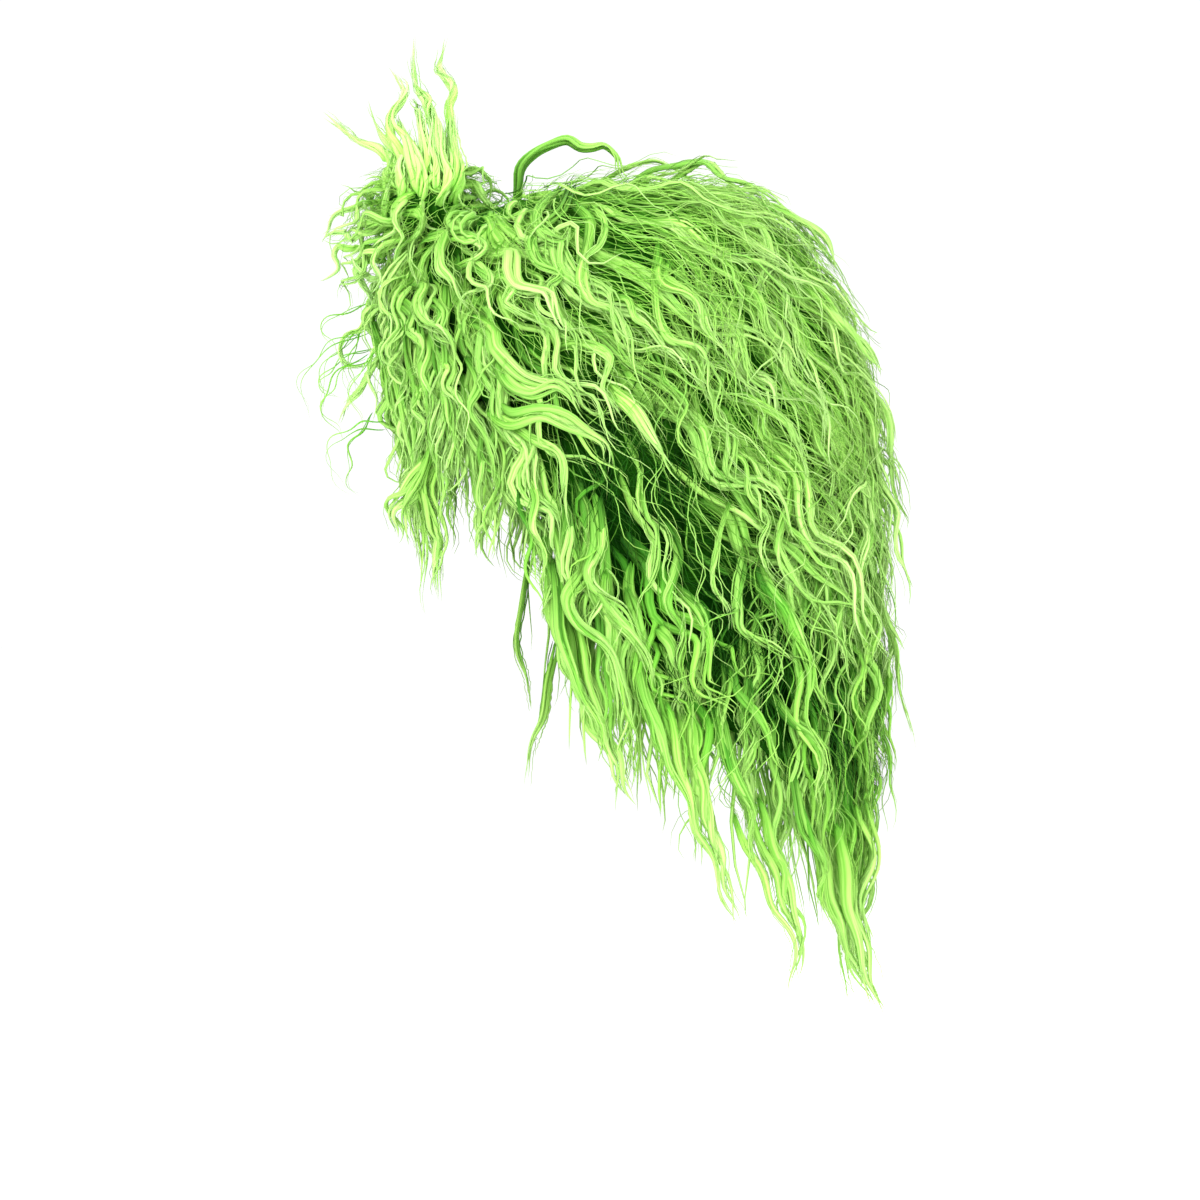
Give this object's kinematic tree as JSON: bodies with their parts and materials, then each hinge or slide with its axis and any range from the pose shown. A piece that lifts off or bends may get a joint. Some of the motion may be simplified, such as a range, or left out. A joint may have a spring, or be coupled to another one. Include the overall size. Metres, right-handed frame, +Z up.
{
  "type": "curly wig",
  "caption": "Long wavy costume wig: a thin net cap with a standing forelock, a fringe, side hair and back hair hung round an open hollow for the head.",
  "frame": {"origin": "inside of the cap, at the point where the crown of the head touches it", "axes": "+Z up, the face looks along -Y, the wearer's left is +X"},
  "size_m": [0.2732, 0.3251, 0.5228],
  "materials": {
    "netting": "dull stretch net with sewn rows of weft",
    "lime_hair": "soft sheen of synthetic hair, pale and thin at the tips",
    "green_hair": "soft sheen of synthetic hair, dark green near the roots and lime at the tips"
  },
  "bodies": {
    "root": {"wig_cap": "netting", "front_tuft": "lime_hair", "fringe": "lime_hair", "side_hair_left": "green_hair", "side_hair_right": "green_hair", "back_hair": "green_hair"}
  },
  "joints": []
}
